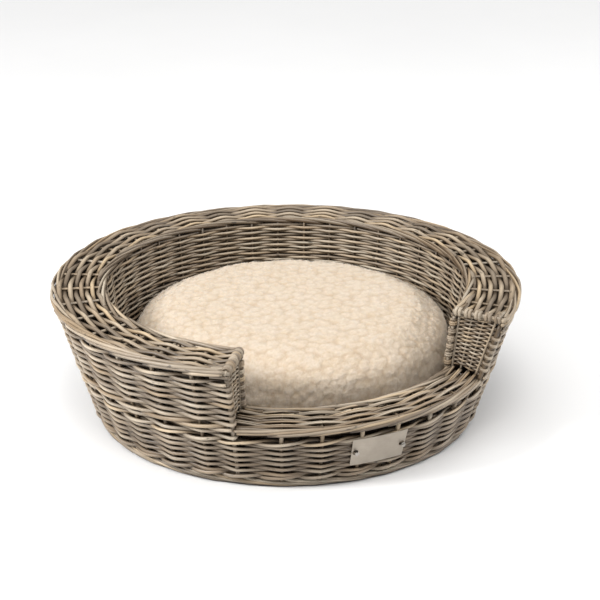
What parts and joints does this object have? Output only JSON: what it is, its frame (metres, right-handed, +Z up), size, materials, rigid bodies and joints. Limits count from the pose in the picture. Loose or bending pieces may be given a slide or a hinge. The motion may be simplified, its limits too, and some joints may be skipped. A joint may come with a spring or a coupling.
{
  "type": "wicker pet bed",
  "caption": "Round woven willow pet bed with double walls, a flat woven rim, a cut-down front, a plain metal plate and a loose plush cushion.",
  "frame": {"origin": "centre of the footprint box on the floor, a little in front of the basket's own round axis", "axes": "+Z up, -Y towards the cut-down front where the animal steps in, +X to the right seen from the front"},
  "size_m": [0.7, 0.6666, 0.2044],
  "materials": {
    "willow_weave": "washed grey-brown willow, satin",
    "willow_stake": "darker grey-brown willow, satin",
    "plate_metal": "satin champagne grey",
    "plush": "cream rosette plush",
    "under_cloth": "plain cream woven cloth",
    "filling": "white polyester fibre",
    "zip_cloth": "cream zip tape",
    "zip_metal": "satin nickel"
  },
  "bodies": {
    "basket": {"base_slath": "willow_stake", "base_sticks": "willow_stake", "base_weave": "willow_weave", "foot_border": "willow_weave", "foot_wale": "willow_weave", "outer_stakes": "willow_stake", "outer_siding_lower": "willow_weave", "mid_wale": "willow_weave", "outer_siding_upper": "willow_weave", "rim_wale": "willow_weave", "rim_border_outer": "willow_weave", "shelf_ribs": "willow_stake", "shelf_weave": "willow_weave", "rim_border_inner": "willow_weave", "inner_stakes": "willow_stake", "inner_siding_lower": "willow_weave", "inner_siding_upper": "willow_weave", "sill_ribs": "willow_stake", "sill_weave": "willow_weave", "sill_border_outer": "willow_weave", "sill_border_inner": "willow_weave", "end_frame_left": "willow_weave", "end_frame_right": "willow_weave", "end_panel_left": "willow_weave", "end_panel_right": "willow_weave", "panel_stakes_left": "willow_stake", "panel_stakes_right": "willow_stake", "post_lashings_left": "willow_weave", "post_lashings_right": "willow_weave", "name_plate": "plate_metal", "plate_pins": "plate_metal"},
    "cushion": {"cushion_filling": "filling", "cushion_top_cover": "plush", "cushion_bottom_cover": "under_cloth", "cushion_piping": "plush", "zip_tape": "zip_cloth", "zip_teeth": "zip_metal"},
    "zip_slider": {"zip_slider": "zip_metal"},
    "zip_pull": {"zip_pull": "zip_metal"}
  },
  "joints": [
    {"name": "cushion_lift", "type": "slide", "parent": "basket", "child": "cushion", "axis": [0, 0, 1], "range_m": [0, 0.25]},
    {"name": "zip_run", "type": "hinge", "parent": "cushion", "child": "zip_slider", "pos_m": [0.01, -0.01666, 0.0888], "axis": [0, 0, 1], "range_deg": [-58, 0]},
    {"name": "zip_pull_swing", "type": "hinge", "parent": "zip_slider", "child": "zip_pull", "pos_m": [-0.20994, 0.09061, 0.0898], "axis": [-0.4384, -0.8988, 0], "range_deg": [-30, 0]}
  ]
}
